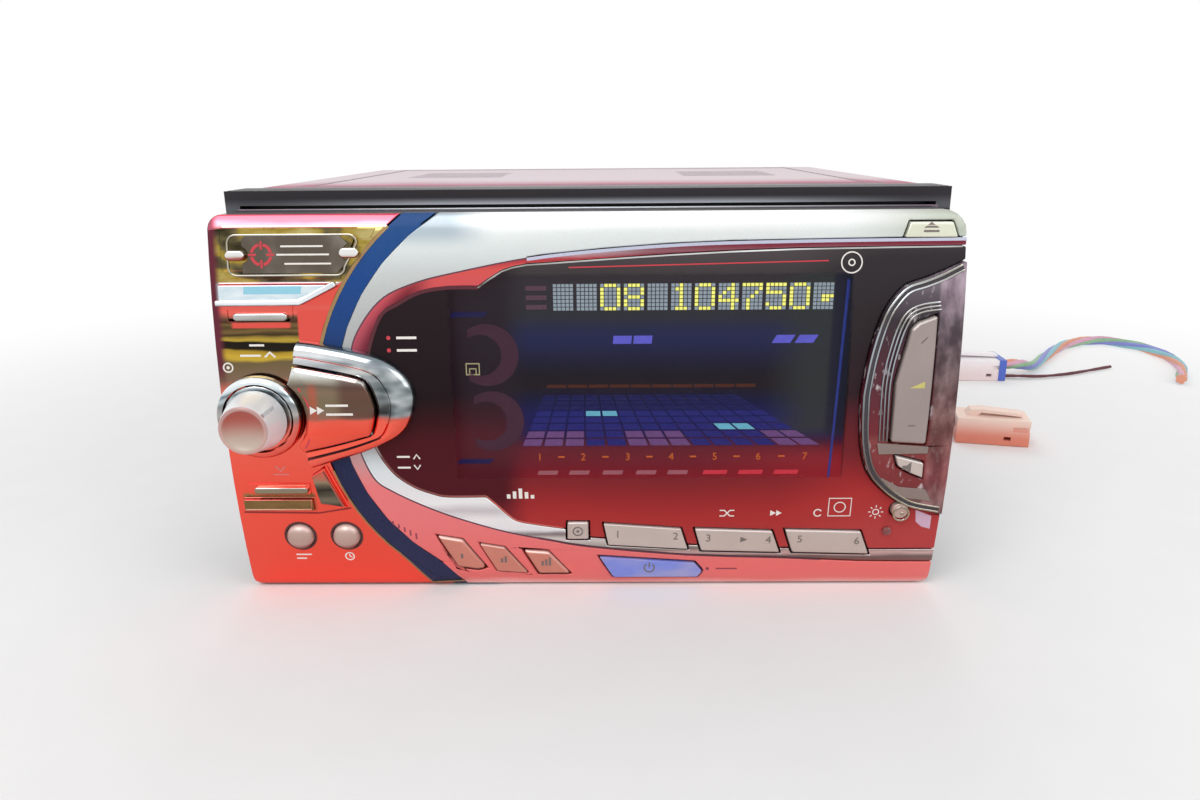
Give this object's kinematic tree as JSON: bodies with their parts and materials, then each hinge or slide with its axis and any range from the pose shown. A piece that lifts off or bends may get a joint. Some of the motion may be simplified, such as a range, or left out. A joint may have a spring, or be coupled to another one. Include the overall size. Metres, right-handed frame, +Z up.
{
  "type": "car stereo",
  "caption": "Double-height car disc and cartridge player with a bulged fold-down face, a rotary knob, a wide display window and a rear harness.",
  "frame": {"origin": "middle of the box round the unit without its leads, at the level of the surface it stands on", "axes": "+X to the right seen from the front, +Y from the face to the rear, +Z up"},
  "size_m": [0.3874, 0.2959, 0.1015],
  "materials": {
    "chrome": "plated plastic, mirror bright",
    "red_chrome": "plated plastic, mirror bright, red cast",
    "silver": "silver lacquer, satin",
    "navy": "navy blue lacquer",
    "smoked": "smoked clear window, glossy",
    "champagne": "champagne lacquer, satin",
    "blue_key": "pale blue translucent, glossy",
    "plaque": "brushed, dark",
    "amber": "amber translucent bar",
    "display": "display module, dark blue",
    "black_plastic": "moulded, fine grain",
    "dark_plastic": "moulded, dark grey",
    "board": "green circuit board",
    "steel": "zinc-plated sheet",
    "zinc": "dull plated steel",
    "cast": "black anodised casting",
    "rubber": "matte",
    "white_plastic": "natural white nylon",
    "wire": "coloured insulation, satin"
  },
  "bodies": {
    "chassis": {"chassis_tray": "steel", "top_cover": "steel", "nose_frame": "black_plastic", "inner_fascia": "black_plastic", "hinge_rod": "steel", "latch_tongue": "steel", "disc_deck": "zinc", "spindle_motor": "steel", "sled_rail_left": "steel", "sled_rail_right": "steel", "cartridge_deck": "zinc", "main_board": "board", "tuner_can": "zinc", "heat_sink": "cast", "rear_socket": "black_plastic", "aerial_socket": "zinc", "lead_a": "wire", "plug_a": "white_plastic", "harness": "wire", "lead_b": "wire", "plug_b": "white_plastic", "thin_lead": "wire"},
    "front_panel": {"panel_shell": "dark_plastic", "panel_back_cover": "dark_plastic", "panel_board": "board", "display_module": "display", "left_fascia": "red_chrome", "navy_stripe": "navy", "silver_face": "silver", "window_surround": "chrome", "window_lens": "smoked", "volume_pod": "chrome", "pod_bezel": "chrome", "plaque": "plaque", "upper_light_bar": "amber", "lower_light_bar": "amber"},
    "feed_roller": {"loading_roller": "rubber"},
    "turntable": {"disc_turntable": "dark_plastic"},
    "sled": {"laser_sled": "dark_plastic"},
    "disc_eject": {"disc_eject_key": "dark_plastic"},
    "cartridge_eject": {"cartridge_eject_key": "dark_plastic"},
    "paddle": {"tune_paddle": "chrome"},
    "ring": {"joystick_ring": "chrome"},
    "plunger": {"encoder_plunger": "dark_plastic"},
    "knob": {"rotary_knob": "silver"},
    "auto": {"auto_key": "champagne"},
    "clock": {"clock_key": "champagne"},
    "dimmer": {"dimmer_key": "champagne"},
    "open": {"open_key": "champagne"},
    "mute": {"mute_key": "champagne"},
    "disc_select": {"disc_key": "champagne"},
    "source": {"source_key": "blue_key"},
    "analyser_1": {"analyser_key_1": "champagne"},
    "analyser_2": {"analyser_key_2": "champagne"},
    "analyser_3": {"analyser_key_3": "champagne"},
    "preset_1": {"preset_rocker_1": "champagne"},
    "preset_2": {"preset_rocker_2": "champagne"},
    "preset_3": {"preset_rocker_3": "champagne"},
    "volume": {"volume_rocker": "champagne"}
  },
  "joints": [
    {"name": "panel_hinge", "type": "hinge", "parent": "chassis", "child": "front_panel", "pos_m": [0, -0.0671, 0.0039], "axis": [1, 0, 0], "range_deg": [0, 85]},
    {"name": "roller_turn", "type": "hinge", "parent": "chassis", "child": "feed_roller", "pos_m": [0, -0.0376, 0.0679], "axis": [1, 0, 0], "continuous": true},
    {"name": "turntable_turn", "type": "hinge", "parent": "chassis", "child": "turntable", "pos_m": [0, 0.0194, 0.0678], "axis": [0, 0, 1], "continuous": true},
    {"name": "sled_slide", "type": "slide", "parent": "chassis", "child": "sled", "axis": [0, 1, 0], "range_m": [0, 0.03]},
    {"name": "disc_eject_push", "type": "slide", "parent": "chassis", "child": "disc_eject", "axis": [0, 1, 0], "range_m": [0, 0.0008], "stiffness_N_per_m": 300},
    {"name": "cartridge_eject_push", "type": "slide", "parent": "chassis", "child": "cartridge_eject", "axis": [0, 1, 0], "range_m": [0, 0.0008], "stiffness_N_per_m": 300},
    {"name": "paddle_press", "type": "hinge", "parent": "front_panel", "child": "paddle", "pos_m": [-0.0715, -0.0866, 0.0492], "axis": [0, 0, 1], "range_deg": [0, 2], "stiffness_Nm_per_rad": 0.06},
    {"name": "ring_tilt", "type": "hinge", "parent": "front_panel", "child": "ring", "pos_m": [-0.0793, -0.0873, 0.0492], "axis": [1, 0, 0], "range_deg": [-4, 4], "stiffness_Nm_per_rad": 0.05},
    {"name": "knob_push", "type": "slide", "parent": "front_panel", "child": "plunger", "axis": [0, 1, 0], "range_m": [0, 0.0006], "stiffness_N_per_m": 300},
    {"name": "knob_turn", "type": "hinge", "parent": "plunger", "child": "knob", "pos_m": [-0.0793, -0.0801, 0.0492], "axis": [0, 1, 0], "continuous": true},
    {"name": "auto_push", "type": "slide", "parent": "front_panel", "child": "auto", "axis": [0, 1, 0], "range_m": [0, 0.0006], "stiffness_N_per_m": 300},
    {"name": "clock_push", "type": "slide", "parent": "front_panel", "child": "clock", "axis": [0, 1, 0], "range_m": [0, 0.0006], "stiffness_N_per_m": 300},
    {"name": "dimmer_push", "type": "slide", "parent": "front_panel", "child": "dimmer", "axis": [0, 1, 0], "range_m": [0, 0.0006], "stiffness_N_per_m": 300},
    {"name": "open_push", "type": "slide", "parent": "front_panel", "child": "open", "axis": [0, 1, 0], "range_m": [0, 0.0006], "stiffness_N_per_m": 300},
    {"name": "mute_push", "type": "slide", "parent": "front_panel", "child": "mute", "axis": [0, 1, 0], "range_m": [0, 0.0006], "stiffness_N_per_m": 300},
    {"name": "disc_select_push", "type": "slide", "parent": "front_panel", "child": "disc_select", "axis": [0, 1, 0], "range_m": [0, 0.0006], "stiffness_N_per_m": 300},
    {"name": "source_push", "type": "slide", "parent": "front_panel", "child": "source", "axis": [0, 1, 0], "range_m": [0, 0.0006], "stiffness_N_per_m": 300},
    {"name": "analyser_1_push", "type": "slide", "parent": "front_panel", "child": "analyser_1", "axis": [0, 1, 0], "range_m": [0, 0.0006], "stiffness_N_per_m": 300},
    {"name": "analyser_2_push", "type": "slide", "parent": "front_panel", "child": "analyser_2", "axis": [0, 1, 0], "range_m": [0, 0.0006], "stiffness_N_per_m": 300},
    {"name": "analyser_3_push", "type": "slide", "parent": "front_panel", "child": "analyser_3", "axis": [0, 1, 0], "range_m": [0, 0.0006], "stiffness_N_per_m": 300},
    {"name": "preset_1_rock", "type": "hinge", "parent": "front_panel", "child": "preset_1", "pos_m": [0.0146, -0.0817, 0.0154], "axis": [0, 0, 1], "range_deg": [-2, 2], "stiffness_Nm_per_rad": 0.05},
    {"name": "preset_2_rock", "type": "hinge", "parent": "front_panel", "child": "preset_2", "pos_m": [0.0381, -0.0815, 0.014], "axis": [0, 0, 1], "range_deg": [-2, 2], "stiffness_Nm_per_rad": 0.05},
    {"name": "preset_3_rock", "type": "hinge", "parent": "front_panel", "child": "preset_3", "pos_m": [0.0611, -0.0814, 0.0135], "axis": [0, 0, 1], "range_deg": [-2, 2], "stiffness_Nm_per_rad": 0.05},
    {"name": "volume_rock", "type": "hinge", "parent": "front_panel", "child": "volume", "pos_m": [0.0782, -0.0839, 0.0571], "axis": [1, 0, 0], "range_deg": [-1.5, 1.5], "stiffness_Nm_per_rad": 0.06}
  ]
}
